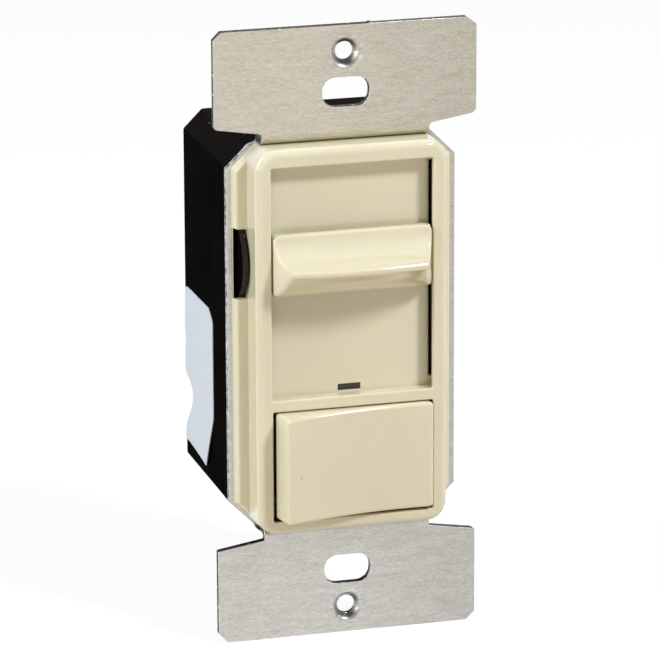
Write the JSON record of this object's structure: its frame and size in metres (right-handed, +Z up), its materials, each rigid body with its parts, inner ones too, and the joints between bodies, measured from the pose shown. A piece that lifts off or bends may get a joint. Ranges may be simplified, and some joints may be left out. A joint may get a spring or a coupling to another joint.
{
  "type": "slide dimmer switch",
  "caption": "Ivory decorator-style slide dimmer with a slide knob, an on/off rocker and a trim wheel, on a brushed aluminium mounting strap with a black rear housing.",
  "frame": {"origin": "Midway between the two wall plate screw holes, on the back plane of the ears, which is the face of the wall.", "axes": "+X to the right for a person facing the wall, +Y into the wall, +Z up along the strap."},
  "size_m": [0.0452, 0.0427, 0.1062],
  "materials": {
    "strap_metal": "brushed",
    "ivory_plastic": "gloss",
    "black_plastic": "gloss",
    "grey_plastic": "matte",
    "blue_plastic": "matte",
    "red_plastic": "gloss",
    "yellow_plastic": "gloss",
    "steel_case": "satin",
    "brass_metal": "satin",
    "copper_wire": "gloss",
    "core_ceramic": "matte",
    "track_laminate": "matte",
    "board_laminate": "satin",
    "smoked_lens": "gloss",
    "lamp_amber": "gloss",
    "pad_rubber": "matte",
    "green_paint": "gloss",
    "label_paper": "matte"
  },
  "bodies": {
    "base": {"mounting_strap": "strap_metal", "front_bezel": "ivory_plastic", "slide_pot_case": "steel_case", "slide_pot_track": "track_laminate", "switch_case": "grey_plastic", "trim_pot": "blue_plastic", "indicator_lens": "smoked_lens", "indicator_lamp": "lamp_amber", "housing_frame": "black_plastic", "rear_housing": "black_plastic", "housing_screws": "steel_case", "circuit_board": "board_laminate", "triac": "grey_plastic", "thermal_pad": "pad_rubber", "triac_rivet": "strap_metal", "choke_core": "core_ceramic", "choke_winding": "copper_wire", "filter_capacitor": "red_plastic", "timing_capacitor": "yellow_plastic", "varistor": "blue_plastic", "diac": "blue_plastic", "resistors": "track_laminate", "traveller_terminal": "brass_metal", "line_terminal": "brass_metal", "load_terminal": "brass_metal", "terminal_screws": "brass_metal", "ground_screw": "green_paint", "terminal_label": "label_paper"},
    "slider": {"slider_knob": "ivory_plastic", "slider_carriage": "grey_plastic", "pot_lever": "black_plastic", "pot_wiper": "brass_metal"},
    "rocker_body": {"rocker": "ivory_plastic"},
    "switch_slide": {"switch_actuator": "ivory_plastic"},
    "trim": {"trim_wheel": "black_plastic", "trim_shaft": "steel_case"}
  },
  "joints": [
    {"name": "slider_travel", "type": "slide", "parent": "base", "child": "slider", "axis": [0, 0, 1], "range_m": [-0.0136, 0.0107]},
    {"name": "rocker_tilt", "type": "hinge", "parent": "base", "child": "rocker_body", "pos_m": [0, -0.0034, -0.02107], "axis": [0, 0, 1], "range_deg": [-15, 0]},
    {"name": "switch_throw", "type": "slide", "parent": "base", "child": "switch_slide", "axis": [1, 0, 0], "range_m": [0, 0.00181]},
    {"name": "trim_turn", "type": "hinge", "parent": "base", "child": "trim", "pos_m": [-0.0178, 0.0057, 0.0129], "axis": [1, 0, 0], "range_deg": [-135, 135]}
  ],
  "couplings": [
    {"joint": "switch_throw", "follows": "rocker_tilt", "m_per_rad": -0.006781}
  ]
}
